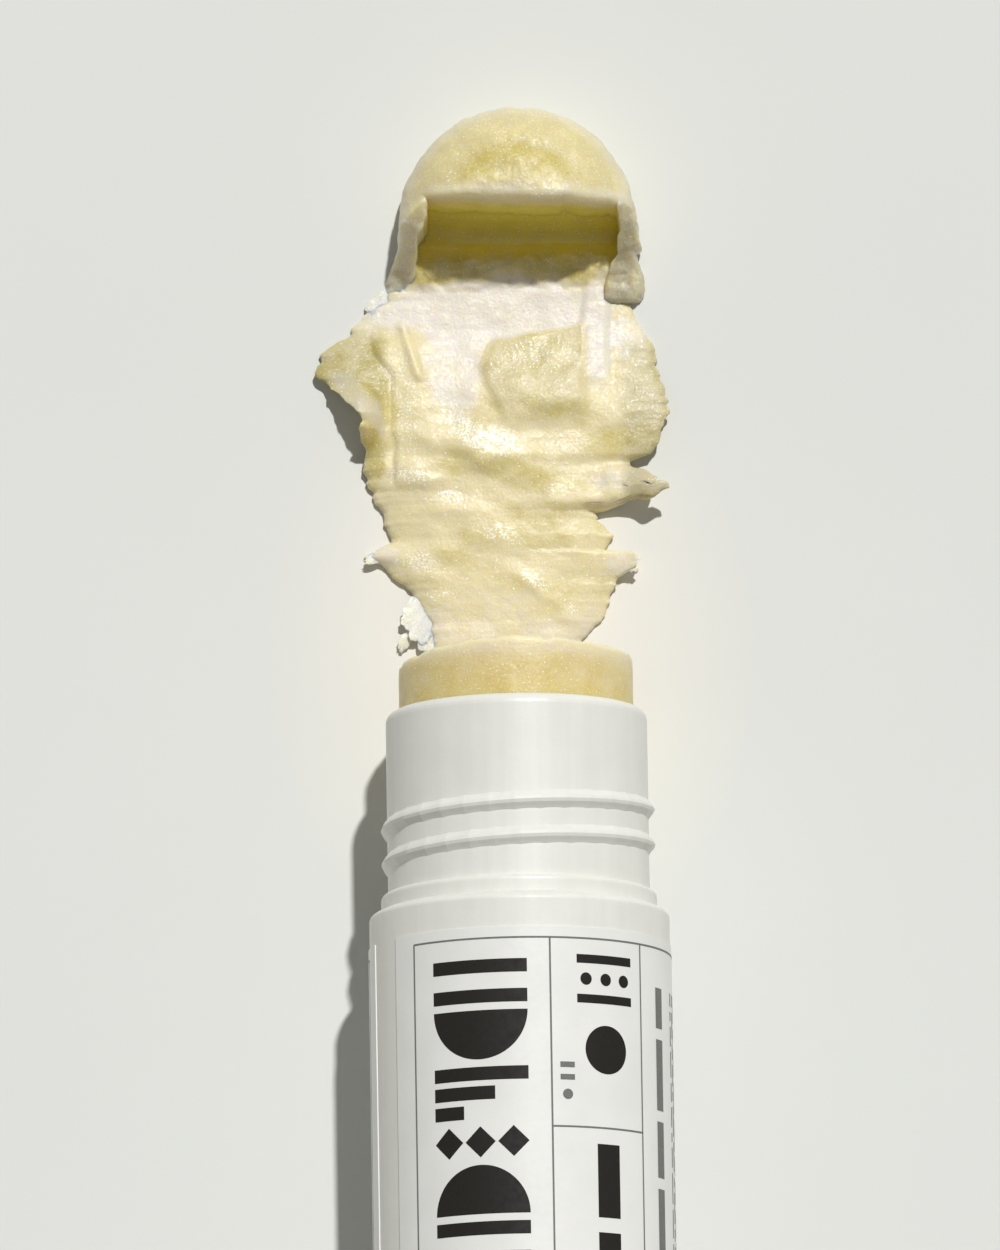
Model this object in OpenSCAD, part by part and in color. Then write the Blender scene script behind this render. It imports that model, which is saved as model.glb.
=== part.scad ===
// Twist-up lip balm, lying on its side with its cap off, as it is after use.
// A smear of the balm and the cut-off front end of the stick lie before its mouth.
// Millimetres. The tube lies along +Y with its mouth towards +Y, and Z is up.

/* [Barrel] */
// Length of the barrel, from its lower end to its rim
barrel_len = 64; // [58:0.5:76]
// Outer diameter of the barrel's body
body_d = 24; // [23.6:0.1:27]
// Diameter of the bore that the balm slides in
bore_d = 19; // [18:0.1:19.2]
// Wall of the neck, round the bore
neck_wall = 0.96; // [0.8:0.02:1.05]
// Distance from the rim down to the foot of the neck
neck_len = 16.2; // [15.4:0.1:20]
// Height of the plain collar at the foot of the neck
collar_h = 1.4; // [0.8:0.1:2]
// How far the collar stands out from the neck
collar_step = 0.57; // [0.3:0.01:0.6]
// Height of the slanted shoulder between collar and body
shoulder_h = 0.5; // [0.3:0.1:1.2]
// Rounding of the rim's outer edge
rim_round = 0.82; // [0.3:0.01:0.85]
// Rounding of the shoulder's outer edge
shoulder_round = 0.5; // [0.2:0.1:0.8]
// Thickness of the floor that the wheel turns in
floor_t = 2; // [1.4:0.1:2.6]

/* [Neck thread] */
// Rise of the thread in one turn
thread_pitch = 2.83; // [2.4:0.01:3.2]
// Turns of the thread, its run-outs included
thread_turns = 1.8; // [1.2:0.1:2.2]
// Height of the thread above the neck
thread_h = 0.52; // [0.3:0.01:0.55]
// Width of the thread at its root
thread_root = 1.55; // [1.2:0.05:1.9]
// Distance from the rim down to the middle of the thread
thread_down = 10.18; // [8.5:0.01:10.6]
// Length of each tapered run-out, in degrees
thread_taper = 50; // [20:5:80]

/* [Guide ribs] */
// Width of the two ribs that keep the carrier from turning
rib_w = 0.9; // [0.6:0.1:1.4]
// How far the ribs stand into the bore
rib_h = 0.45; // [0.3:0.05:0.5]
// Distance from the rim down to the upper end of the ribs
rib_down = 12.3; // [10:0.1:14]

/* [Wheel] */
// Height of the grip wheel
wheel_len = 6; // [5:0.1:9]
// How far the wheel stands out beyond the label
wheel_proud = 0.1; // [0.05:0.05:0.5]
// Gap between the wheel and the barrel
wheel_gap = 0.3; // [0.2:0.05:0.6]
// Number of grip flutes round the wheel
flutes = 36; // [24:2:48]
// Depth of each flute
flute_depth = 0.28; // [0.15:0.01:0.4]
// Radius of each flute
flute_r = 0.62; // [0.4:0.02:0.7]
// Wall of the wheel's skirt
wheel_wall = 1.4; // [1.1:0.1:2]
// Thickness of the wheel's end
wheel_end_t = 1.3; // [1:0.1:2]
// Depth of the shallow recess in the wheel's outer face
wheel_recess = 0.7; // [0.3:0.1:1]
// Number of stiffening ribs inside the wheel
wheel_ribs = 6; // [3:1:10]

/* [Screw] */
// Diameter of the screw's core
screw_core_d = 4; // [3.4:0.1:4.4]
// Height of the screw's thread above the core
screw_thread_h = 0.9; // [0.6:0.05:1.1]
// Travel of the carrier in one turn of the wheel
screw_lead = 4; // [3.6:0.1:5]
// Width of the screw's thread at its root
screw_root = 1.6; // [1.2:0.1:1.7]
// Width of the screw's thread at its crest
screw_crest = 1; // [0.7:0.1:1.1]
// Distance from the rim down to the screw's tip
screw_down = 10.8; // [9:0.1:12]
// Diameter of the journal that turns in the barrel's floor
journal_d = 7.8; // [7.2:0.1:8.4]
// How far the snap collar stands out from the journal
snap_step = 0.7; // [0.4:0.05:0.9]
// Height of the snap collar
snap_h = 1.2; // [0.9:0.1:1.6]
// Free play along the axis, at the snap collar
snap_play = 0.15; // [0.1:0.05:0.3]

/* [Carrier] */
// Height of the carrier's cup
cup_h = 7; // [5:0.5:9]
// Thickness of the cup's floor
cup_floor = 1.2; // [0.9:0.1:1.6]
// Wall of the cup
cup_wall = 0.8; // [0.6:0.05:1.1]
// Wall of the threaded hub
hub_wall = 1.2; // [0.9:0.1:1.6]
// Height of the threaded hub, from the underside of the floor
hub_len = 9; // [8:0.5:11]
// Turns of thread inside the hub
nut_turns = 1.6; // [1:0.1:1.7]
// Thickness of the four fins that grip the balm
fin_t = 0.8; // [0.6:0.1:1.2]
// Height of the fins above the cup's floor
fin_h = 3.6; // [2:0.1:3.8]
// How far the carrier is wound up from its lowest place
wound_up = 8.6; // [2:0.1:16]
// Space left between the carrier's lowest place and the snap collar
carrier_rest = 0.35; // [0.2:0.05:1]

/* [Balm stick] */
// How far the stick stands out of the rim
stick_out = 4.2; // [1:0.1:12]
// Rounding of the stick's cut end
stick_round = 0.4; // [0.1:0.1:0.8]

/* [Label] */
// Thickness of the label
label_t = 0.1; // [0.05:0.01:0.15]
// Distance from the rim down to the label's upper edge
label_down = 19.2; // [18:0.1:26]
// Distance from the barrel's lower end up to the label's lower edge
label_up = 3; // [1:0.1:6]
// Angle of the bare strip between the label's two ends
label_gap = 18; // [6:1:60]
// Place of the bare strip, in degrees to the left of the top
label_gap_at = 64; // [40:1:120]

/* [Smear] */
// Diameter of the front end of the stick, pressed down flat
slab_d = 19.2; // [18.4:0.1:20]
// Height of the slab at its middle
slab_mid_h = 10.4; // [8.5:0.1:12]
// Height of the slab at its outer edge
slab_edge_h = 6.4; // [4:0.1:7]
// Rounding of the slab's outer edge
slab_round = 1.9; // [0.5:0.1:2.2]
// Distance from the stick's end to the middle of the slab
slab_ahead = 37; // [36.6:0.1:42]
// How far the slab's middle lies to the right of the tube's axis
slab_side = 0.7; // [0:0.1:1.2]
// Distance from the slab's middle to the wall left by the spatula
wall_ahead = 1.5; // [1:0.1:3]
// Width of the spatula's cut
cut_w = 15.4; // [14:0.1:16]
// How far the cut's middle lies to the right of the tube's axis
cut_side = 1.2; // [0.8:0.1:1.4]
// Depth of balm left under the cut
cut_floor = 1.5; // [0.8:0.1:2]
// Distance from the slab's middle back to where the spatula went in
cut_back = 3.6; // [2.4:0.1:5]
// Slope of the two arms beside the cut, in degrees
arm_slope = 56; // [50:1:70]
// Height of the crest where the spatula went in
crest_h = 2.6; // [1.8:0.1:3]
// Thickness of the film at its edges
film_edge_t = 0.35; // [0.25:0.05:0.5]
// How far the film reaches back under the neck, from the rim
tongue_len = 2.2; // [1.5:0.1:4]
// Height of the ripples across the film
ripple_h = 0.14; // [0:0.02:0.2]
// Distance between the ripples
ripple_len = 3.4; // [2.5:0.1:6]
// Height that the left flap is lifted by at its corner
left_lift = 4; // [1:0.1:4.5]
// Height that the right flap is lifted by at its tip
right_lift = 3.4; // [1:0.1:4]

/* [Fits] */
// Space all round the balm and the carrier in the bore
slide_play = 0.1; // [0.05:0.01:0.15]
// Space all round the guide ribs
rib_play = 0.1; // [0.05:0.01:0.2]
// Radial space of the journal in its hole
journal_play = 0.08; // [0.03:0.01:0.1]
// Space between the screw and the hub
screw_play = 0.15; // [0.1:0.01:0.25]
// Space between the balm and what it is cast round
cast_play = 0.04; // [0.02:0.01:0.08]
// Space between the film's tongue and the underside of the neck
tongue_play = 0.1; // [0.05:0.01:0.3]

/* [Hidden] */
$fn = 96;

body_r = body_d / 2;
bore_r = bore_d / 2;
neck_r = bore_r + neck_wall;
collar_r = neck_r + collar_step;
wheel_r = body_r + label_t + wheel_proud;

// heights along the tube, from the wheel's outer face
barrel_z = wheel_len + wheel_gap;
rim_z = barrel_z + barrel_len;
floor_z = barrel_z + floor_t;
shoulder_z = rim_z - neck_len - shoulder_h;
rib_top_z = rim_z - rib_down;
thread_mid_z = rim_z - thread_down;
snap_z = floor_z + snap_play;
screw_foot_z = snap_z + snap_h;
screw_tip_z = rim_z - screw_down;
lowest_z = screw_foot_z + carrier_rest;
carrier_z = lowest_z + wound_up;
stick_end_z = rim_z + stick_out;

// the screw and what it passes through
screw_r = screw_core_d / 2;
screw_crest_r = screw_r + screw_thread_h;
hub_bore_r = screw_crest_r + screw_play;
hub_r = hub_bore_r + hub_wall;
journal_r = journal_d / 2;
snap_r = journal_r + snap_step;

// the balm and the carrier slide in the bore, and along the ribs
stick_r = bore_r - slide_play;
groove_r = bore_r - rib_h - rib_play;
groove_w = rib_w + 2 * rib_play;
cup_in_r = min(stick_r - cup_wall, groove_r - 0.35);

// the film's tongue reaches under the neck and almost touches it
tongue_at = -stick_out - tongue_len;
tongue_h = wheel_r - neck_r - tongue_play;

// the film of balm: how far it reaches to the left and to the right of the
// tube's axis, at distances ahead of the stick's end
film_left = [[tongue_at, -4.2], [tongue_at + 1.2, -5.6], [3.7, -6.4], [5.3, -6.9], [7.8, -8.4], [9.9, -10.7],
    [10.6, -12], [11.8, -9.9], [14.3, -10.6], [16.1, -11.6], [20.7, -12.1], [21.9, -12.2],
    [24.5, -14.7], [25.6, -15.7], [27.3, -15.2], [29.2, -12.6], [31, -11.5], [31.6, -9.8],
    [35, -9.4]];
film_right = [[tongue_at, 3.4], [tongue_at + 1.2, 4.8], [3.7, 5.6], [5.1, 6.9], [8.2, 8.1], [9.4, 9.7],
    [10.6, 9.9], [10.9, 7.4], [12.2, 8], [14.6, 6.2], [15.3, 9.7], [16.4, 12.8], [17.8, 11.2],
    [18.3, 10.5], [20.3, 12], [23.4, 12.7], [26.7, 11.4], [29.5, 9.6], [31.2, 9.3], [35, 10]];
// depth of the film along its middle, up to the crest where the spatula went in
crest_at = slab_ahead - 2.8;
film_depth = [[tongue_at, 0.5 * tongue_h], [tongue_at + 1, tongue_h - 0.1], [-stick_out, tongue_h],
    [-stick_out + rim_round + 1.4, 1.6], [3, 1.2], [8, 1.7], [14, 2], [20, 2.1], [25, 1.7], [29, 0.9],
    [crest_at - 1.4, 0.9], [crest_at, crest_h], [slab_ahead - 2, cut_floor + 0.3]];
// how much of its lift each flap has
left_flap = [[16, 0], [18.6, 0.15], [20.8, 0.9], [21.9, 1], [23.4, 0.66], [24.8, 0.25], [27, 0.05],
    [30, 0]];
right_flap = [[14, 0], [15.3, 0.5], [16.4, 1], [17.4, 0.4], [18.4, 0.3], [20.5, 0.4], [23.5, 0.25],
    [27, 0]];
film_from = tongue_at;
film_to = slab_ahead - 2;
film_rows = 56;
film_cols = 12;
flap_at = 9.2;
flap_run = 3;
// where along the film the ripples are at their full height
ripple_from = 9;
ripple_to = 24;
ripple_fade = 5;

// the slab: a cap of a ball over an upright edge
slab_r = slab_d / 2;
slab_rise = slab_mid_h - slab_edge_h;
slab_ball_r = (slab_r * slab_r + slab_rise * slab_rise) / (2 * slab_rise);

// the whole: its middle is over the origin
left_most = min([for (p = film_left) p[1]]);
right_most = max([for (p = film_right) p[1]]);
tube_x = -(min(left_most, -wheel_r) + max(right_most, wheel_r)) / 2;
total_len = stick_end_z + slab_ahead + slab_r;
wheel_y = -total_len / 2;
stick_end_y = wheel_y + stick_end_z;

barrel();
base_wheel();
carrier();
balm_stick();
label();
balm_smear();

// lays the tube down: its upward axis becomes +Y
module lay_down() {
    translate([tube_x, wheel_y, wheel_r]) rotate([-90, 0, 0]) children();
}

// points of a quarter round or other arc
function arc(cx, cy, r, from, to, n = 5) =
    [for (i = [0:n]) let (a = from + (to - from) * i / n) [cx + r * cos(a), cy + r * sin(a)]];

// A ridge that winds round an axis. Its section is a list of [height, along] points, and
// a height below nought is sunk in the wall that carries it. side is 1 on a shaft and
// -1 in a bore, hand is 1 for a right-hand thread and -1 for a left-hand one.
module helix_ridge(section, r, lead, turns, steps, taper, side = 1, hand = 1) {
    n = ceil(turns * steps);
    k = len(section);
    points = [
        for (i = [0:n])
            let (a = turns * 360 * i / n, g = min(1, a / taper, (turns * 360 - a) / taper))
            for (p = section)
                let (h = p[0] > 0 ? p[0] * g - 0.12 * (1 - g) : p[0], rr = r + side * h)
                [rr * cos(hand * a), rr * sin(hand * a), lead * a / 360 + p[1]]
    ];
    faces = [
        [for (j = [0:k - 1]) j],
        for (i = [0:n - 1])
            for (j = [0:k - 1])
                let (j2 = (j + 1) % k, b = i * k, c = b + k)
                each [[b + j, c + j, c + j2], [b + j, c + j2, b + j2]],
        [for (j = [k - 1:-1:0]) n * k + j]
    ];
    turned = side * hand < 0 ? faces : [for (f = faces) [for (m = [len(f) - 1:-1:0]) f[m]]];
    polyhedron(points, turned);
}

// the moulded section of the neck thread, rounded over its crest
function round_section(root, height, sunk, n = 6) = concat(
    [[-sunk, -root / 2]],
    [for (i = [0:n]) let (t = 2 * i / n - 1) [height * pow(max(0, 0.5 + 0.5 * cos(180 * t)), 0.7) + 0.001,
        root / 2 * t]],
    [[-sunk, root / 2]]);

// a plain section with slanted flanks
function slant_section(root, crest, height, sunk) =
    [[-sunk, -root / 2], [height, -crest / 2], [height, crest / 2], [-sunk, root / 2]];

// two straight bars on opposite sides of the bore, from radius r outwards
module side_bars(r, w, from, to, out) {
    for (s = [0, 180]) rotate([0, 0, s]) translate([r, -w / 2, from]) cube([out - r, w, to - from]);
}

module barrel() {
    slope_r = collar_r + 0.12;
    outline = concat(
        [[bore_r, barrel_z], [body_r - 0.3, barrel_z], [body_r, barrel_z + 0.3]],
        arc(body_r - shoulder_round, shoulder_z - shoulder_round * 0.4, shoulder_round, 0, 62),
        [[slope_r, shoulder_z + shoulder_h], [collar_r, shoulder_z + shoulder_h + 0.05]],
        arc(collar_r - 0.4, rim_z - neck_len + collar_h - 0.4, 0.4, 0, 80, 4),
        [[neck_r, rim_z - neck_len + collar_h]],
        arc(neck_r - rim_round, rim_z - rim_round, rim_round, 0, 90),
        [[bore_r, rim_z]]);
    color([0.93, 0.93, 0.91]) lay_down() {
        difference() {
            union() {
                rotate_extrude() polygon(outline);
                translate([0, 0, barrel_z]) cylinder(r = bore_r + 0.5, h = floor_t);
                intersection() {
                    side_bars(bore_r - rib_h, rib_w, floor_z - 0.5, rib_top_z, bore_r + 0.5);
                    cylinder(r = bore_r + 0.5, h = rim_z);
                }
            }
            translate([0, 0, barrel_z - 1]) cylinder(r = journal_r + journal_play, h = floor_t + 2);
        }
        rotate([0, 0, 90 - 180 * thread_turns])
            translate([0, 0, thread_mid_z - thread_pitch * thread_turns / 2])
                helix_ridge(round_section(thread_root, thread_h, 0.3), neck_r, thread_pitch,
                    thread_turns, 32, thread_taper);
    }
}

// grip wheel, journal, snap collar and screw are one moulding
module base_wheel() {
    in_r = wheel_r - wheel_wall;
    core_r = journal_r + 0.6;
    outline = concat(
        [[0, wheel_recess], [in_r, wheel_recess], [in_r + 0.2, 0]],
        arc(wheel_r - 0.5, 0.5, 0.5, -90, 0),
        arc(wheel_r - 0.3, wheel_len - 0.3, 0.3, 0, 90, 3),
        [[0, wheel_len]]);
    stem = [[0, wheel_len - 1], [journal_r, wheel_len - 1], [journal_r, snap_z],
        [snap_r, snap_z + 0.25], [snap_r, snap_z + 0.45], [screw_r + 0.9, screw_foot_z],
        [screw_r, screw_foot_z], [screw_r, screw_tip_z - 0.8], [screw_r - 0.6, screw_tip_z],
        [0, screw_tip_z]];
    hollow_z = wheel_recess + wheel_end_t;
    rib_len = screw_tip_z - screw_foot_z - 1.6;
    color([0.9, 0.9, 0.88]) lay_down() {
        difference() {
            rotate_extrude() polygon(outline);
            for (i = [0:flutes - 1]) rotate([0, 0, 90 + (i + 0.5) * 360 / flutes])
                translate([wheel_r + flute_r - flute_depth, 0, -1])
                    cylinder(r = flute_r, h = wheel_len + 2, $fn = 24);
            difference() {
                translate([0, 0, hollow_z]) cylinder(r = in_r, h = wheel_len);
                cylinder(r = core_r, h = wheel_len + 1);
                for (i = [0:wheel_ribs - 1]) rotate([0, 0, i * 360 / wheel_ribs])
                    translate([0, -0.4, 0]) cube([in_r + 1, 0.8, wheel_len - 0.8]);
            }
        }
        rotate_extrude() polygon(stem);
        translate([0, 0, screw_foot_z + 0.8])
            helix_ridge(slant_section(screw_root, screw_crest, screw_thread_h, 0.3), screw_r,
                screw_lead, rib_len / screw_lead, 20, 40, 1, -1);
    }
}

// the threaded hub's inner ridge lies midway between the turns of the screw
module nut_ridge() {
    start_z = carrier_z + 0.9 + screw_lead / 8;
    // angle of the screw's thread at this height, half a turn away
    phase = -360 * (start_z - (screw_foot_z + 0.8)) / screw_lead + 180;
    free = (screw_lead - screw_root - screw_crest) / 2;
    crest = screw_lead - screw_root - 2 * min(0.35, free);
    rotate([0, 0, phase]) translate([0, 0, start_z])
        helix_ridge(slant_section(crest + 0.5, crest, screw_thread_h, 0.3), hub_bore_r, screw_lead,
            nut_turns, 20, 30, -1, -1);
}

module carrier() {
    color([0.95, 0.95, 0.94]) lay_down() difference() {
        union() {
            difference() {
                translate([0, 0, carrier_z]) cylinder(r = stick_r - 0.02, h = cup_h);
                translate([0, 0, carrier_z + cup_floor]) cylinder(r = cup_in_r, h = cup_h);
                translate([0, 0, carrier_z - 1]) cylinder(r = hub_r - 0.2, h = cup_floor + 2);
            }
            difference() {
                union() {
                    translate([0, 0, carrier_z]) cylinder(r = hub_r, h = hub_len);
                    for (a = [45, 135]) rotate([0, 0, a])
                        translate([-cup_in_r - 0.2, -fin_t / 2, carrier_z + cup_floor - 0.2])
                            cube([2 * cup_in_r + 0.4, fin_t, fin_h + 0.2]);
                }
                translate([0, 0, carrier_z - 1]) cylinder(r = hub_bore_r, h = hub_len + 2);
            }
            nut_ridge();
        }
        side_bars(groove_r, groove_w, carrier_z - 1, carrier_z + cup_h + 1, bore_r + 1);
    }
}

module balm_stick() {
    foot_z = carrier_z + cup_floor + cast_play;
    outline = concat(
        [[0, foot_z], [cup_in_r - cast_play, foot_z],
            [cup_in_r - cast_play, carrier_z + cup_h + cast_play],
            [stick_r, carrier_z + cup_h + cast_play]],
        arc(stick_r - stick_round, stick_end_z - stick_round, stick_round, 0, 90),
        [[0, stick_end_z]]);
    color([0.86, 0.8, 0.55]) lay_down() difference() {
        rotate_extrude() polygon(outline);
        // round the hub, and above it round the screw when the stick is wound down
        cylinder(r = hub_r + cast_play, h = carrier_z + hub_len + cast_play);
        cylinder(r = hub_bore_r, h = screw_tip_z + wound_up + 0.3);
        for (a = [45, 135]) rotate([0, 0, a])
            translate([-cup_in_r, -fin_t / 2 - cast_play, foot_z - 1])
                cube([2 * cup_in_r, fin_t + 2 * cast_play, fin_h + 1]);
        side_bars(groove_r, groove_w, foot_z - 1, rib_top_z + wound_up + 0.2, bore_r + 1);
    }
}

module label() {
    z1 = barrel_z + label_up;
    z2 = rim_z - label_down;
    far = 3 * body_r;
    half = label_gap / 2;
    color([0.97, 0.97, 0.96]) lay_down() difference() {
        translate([0, 0, z1]) cylinder(r = body_r + label_t, h = z2 - z1);
        translate([0, 0, z1 - 1]) cylinder(r = body_r, h = z2 - z1 + 2);
        // a wedge for the bare strip
        rotate([0, 0, -90 - label_gap_at]) translate([0, 0, z1 - 1])
            linear_extrude(z2 - z1 + 2)
                polygon([[0, 0], [far * cos(half), -far * sin(half)], [far * cos(half), far * sin(half)]]);
    }
}

function ease(t) = let (c = min(1, max(0, t))) c * c * (3 - 2 * c);

// height of the film's underside: the flaps bend up beyond the line flap_at
function film_under(ahead, across) = across < 0
    ? left_lift * lookup(ahead, left_flap) * ease((-across - flap_at) / flap_run)
    : right_lift * lookup(ahead, right_flap) * ease((across - flap_at + 2) / (flap_run + 1));

// height of the film's top, with ripples where the spatula has dragged it
function film_top(ahead, across, u) =
    let (depth = lookup(ahead, film_depth), under = film_under(ahead, across),
        full = film_edge_t + (depth - film_edge_t) * sqrt(max(0, 1 - u * u)),
        thin = 1 - 0.5 * ease(under / 1.5),
        ripple = ripple_h * sin(360 * ahead / ripple_len + 40 * across / 10) * (1 - u * u)
            * ease((ahead - ripple_from) / ripple_fade + 1) * ease((ripple_to - ahead) / ripple_fade + 1))
    under + full * thin + ripple;

module film() {
    cols = film_cols;
    spots = [
        for (i = [0:film_rows])
            let (ahead = film_from + (film_to - film_from) * i / film_rows,
                l = lookup(ahead, film_left), r = lookup(ahead, film_right))
            for (j = [0:cols]) let (u = 2 * j / cols - 1, v = sin(90 * u))
                [l + (r - l) * (v + 1) / 2, ahead, v]
    ];
    total = len(spots);
    points = concat(
        [for (s = spots) [s[0], s[1], film_top(s[1], s[0], s[2])]],
        [for (s = spots) [s[0], s[1], film_under(s[1], s[0])]]);
    w = cols + 1;
    faces = [
        for (i = [0:film_rows - 1], j = [0:cols - 1])
            let (a = i * w + j, b = a + 1, c = a + w, d = c + 1)
            each [[a, c, d], [a, d, b], [total + a, total + d, total + c], [total + a, total + b, total + d]],
        for (i = [0:film_rows - 1]) let (a = i * w, c = a + w, e = a + cols, f = e + w)
            each [[a, total + a, total + c], [a, total + c, c], [e, f, total + f], [e, total + f, total + e]],
        for (j = [0:cols - 1]) let (a = j, b = a + 1, c = film_rows * w + j, d = c + 1)
            each [[a, b, total + b], [a, total + b, total + a], [c, total + c, total + d], [c, total + d, d]]
    ];
    polyhedron(points, faces);
}

// a lump of wax pushed aside, from one spot to the next, cut off at the surface
module lump(from, to, r1, r2) {
    hull() {
        translate(from) sphere(r1, $fn = 20);
        translate(to) sphere(r2, $fn = 20);
    }
}

// the pressed front end: a ball's cap over an upright, rounded edge
module slab() {
    outline = concat(
        [[0, 0], [slab_r - 0.5, 0], [slab_r, 0.7]],
        arc(slab_r - slab_round, slab_edge_h - 0.44 * slab_round, slab_round, 0, 47),
        [[slab_r - 0.32 * slab_round, slab_mid_h], [0, slab_mid_h]]);
    intersection() {
        rotate_extrude() polygon(outline);
        translate([0, 0, slab_mid_h - slab_ball_r]) sphere(slab_ball_r);
    }
}

module balm_smear() {
    left = cut_side - cut_w / 2;
    right = cut_side + cut_w / 2;
    in_at = slab_ahead - cut_back;
    far = slab_r + 2;
    arm_foot = 1;
    arm_top_at = in_at + (slab_edge_h - arm_foot) / tan(arm_slope);
    color([0.88, 0.83, 0.62]) translate([tube_x, stick_end_y, 0]) difference() {
        union() {
            film();
            difference() {
                translate([slab_side, slab_ahead, 0]) slab();
                // the spatula's cut leaves a wall at its far end and grows wider on its left
                translate([0, 0, cut_floor]) linear_extrude(slab_mid_h)
                    polygon([
                        [left, slab_ahead + wall_ahead], [right, slab_ahead + wall_ahead],
                        [right, in_at - 1], [left - 2, in_at - 1], [left - 1.8, in_at + 0.6],
                        [left, slab_ahead - 0.6]
                    ]);
                // its two arms slope down to where the spatula went in
                rotate([90, 0, 90]) linear_extrude(2 * far, center = true)
                    polygon([
                        [in_at - 2 * far, -1], [in_at, -1], [in_at, arm_foot], [arm_top_at, slab_edge_h],
                        [arm_top_at, slab_mid_h + 1], [in_at - 2 * far, slab_mid_h + 1]
                    ]);
            }
            // what the spatula pushed aside, at the two ends of its cut
            lump([right + 1, slab_ahead - 2.4, 1.3], [right + 0.8, slab_ahead - 4.7, 0.9], 1.7, 1.3);
            lump([left - 2.6, in_at + 0.9, 1.6], [left - 3, in_at - 1, 0.6], 1.3, 0.8);
        }
        translate([-2 * far, -2 * far, -10]) cube([4 * far, 8 * far, 10]);
    }
}
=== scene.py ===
# Lip balm with its cap off, lying on its side, and the balm that was drawn out before its mouth.
# Sizes here are in millimetres. The tube lies along +Y, its mouth towards +Y, and Z is up.
import math
import bpy
import numpy as np
from mathutils import Matrix, Vector


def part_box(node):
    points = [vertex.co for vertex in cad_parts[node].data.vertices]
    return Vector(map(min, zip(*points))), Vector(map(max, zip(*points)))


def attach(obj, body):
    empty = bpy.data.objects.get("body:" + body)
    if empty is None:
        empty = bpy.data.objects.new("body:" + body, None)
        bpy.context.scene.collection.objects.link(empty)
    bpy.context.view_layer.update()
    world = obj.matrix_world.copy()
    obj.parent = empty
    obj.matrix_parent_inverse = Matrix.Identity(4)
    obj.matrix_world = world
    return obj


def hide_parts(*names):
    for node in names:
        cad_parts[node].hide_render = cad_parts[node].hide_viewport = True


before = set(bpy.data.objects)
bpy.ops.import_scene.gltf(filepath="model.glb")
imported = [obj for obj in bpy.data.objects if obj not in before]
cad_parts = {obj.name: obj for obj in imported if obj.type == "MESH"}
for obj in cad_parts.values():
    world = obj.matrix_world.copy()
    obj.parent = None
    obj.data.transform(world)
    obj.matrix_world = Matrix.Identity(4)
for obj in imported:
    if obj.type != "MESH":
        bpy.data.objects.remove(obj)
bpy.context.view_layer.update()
mm = 0.001

barrelLow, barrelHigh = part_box("barrel")
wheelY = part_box("base_wheel")[0].y / mm
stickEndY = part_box("balm_stick")[1].y / mm
tubeX = (barrelLow.x + barrelHigh.x) / 2 / mm
axisZ = (barrelLow.z + barrelHigh.z) / 2 / mm
rimY = barrelHigh.y / mm
print("frame read: tube axis at x", round(tubeX, 2), "z", round(axisZ, 2), "rim at y", round(rimY, 2))


# smooth step: 0 below 0, 1 above 1, and t*t*(3-2t) between
def ease(t):
    t = np.clip(t, 0, 1)
    return t * t * (3 - 2 * t)


# 1 between low and high, falling to 0 over soft on both sides
def band(x, low, high, soft):
    return ease((x - low) / soft + 0.5) * ease((high - x) / soft + 0.5)


# random heights in -1..1 on a square lattice, blended with the smooth step between its corners
def lattice(x, y, size, seed):
    table = np.random.RandomState(seed).uniform(-1, 1, (89, 89))
    gx, gy = np.broadcast_arrays(np.asarray(x) / size + 500, np.asarray(y) / size + 500)
    ix, iy = np.floor(gx).astype(int), np.floor(gy).astype(int)
    sx, sy = ease(gx - ix), ease(gy - iy)
    low = table[ix % 89, iy % 89] * (1 - sx) + table[(ix + 1) % 89, iy % 89] * sx
    high = table[ix % 89, (iy + 1) % 89] * (1 - sx) + table[(ix + 1) % 89, (iy + 1) % 89] * sx
    return low * (1 - sy) + high * sy


# layers of the lattice, each half the size and half the height of the one before
def grain(x, y, size, seed, layers=3):
    return sum(lattice(x, y, size / 2 ** k, seed + k) / 2 ** k for k in range(layers))


# value at t along a list of (place, value) pairs, joined by straight lines
def along(t, pairs):
    places, values = zip(*pairs)
    return np.interp(t, places, values)


# the quads between neighbouring rows and columns of a table of point numbers
def gridQuads(index):
    corners = (index[:-1, :-1], index[:-1, 1:], index[1:, 1:], index[1:, :-1])
    return np.stack(corners, -1).reshape(-1, 4)


# Rows of points become a mesh of quads. roundWay joins the last column to the first, and
# a start or end point closes that side with a fan. paint holds one value for each point.
def surface(name, points, roundWay=False, startPoint=None, endPoint=None, paint=None, smooth=True):
    rows, cols = points.shape[:2]
    verts = points.reshape(-1, 3)
    index = np.arange(rows * cols).reshape(rows, cols)
    wrapped = np.concatenate([index, index[:, :1]], 1) if roundWay else index
    quads = gridQuads(wrapped)
    fans, extra = [], []
    for tip, ring, turned in ((startPoint, wrapped[0], True), (endPoint, wrapped[-1], False)):
        if tip is None:
            continue
        middle = np.full(len(ring) - 1, len(verts) + len(extra))
        sides = (ring[1:], ring[:-1]) if turned else (ring[:-1], ring[1:])
        fans.append(np.stack([sides[0], sides[1], middle], -1))
        extra.append(tip)
    if extra:
        verts = np.concatenate([verts, np.array(extra, float)])
    tris = np.concatenate(fans) if fans else np.zeros((0, 3), int)
    # the signed volume tells which way the faces look
    cut = np.concatenate([quads[:, [0, 1, 2]], quads[:, [0, 2, 3]], tris])
    p, q, r = (verts[cut[:, k]] - verts.mean(0) for k in range(3))
    if (roundWay or extra) and np.einsum("ij,ij->i", p, np.cross(q, r)).sum() < 0:
        quads, tris = quads[:, ::-1], tris[:, ::-1]
    return meshPiece(name, verts, quads, tris, paint, smooth)


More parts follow.
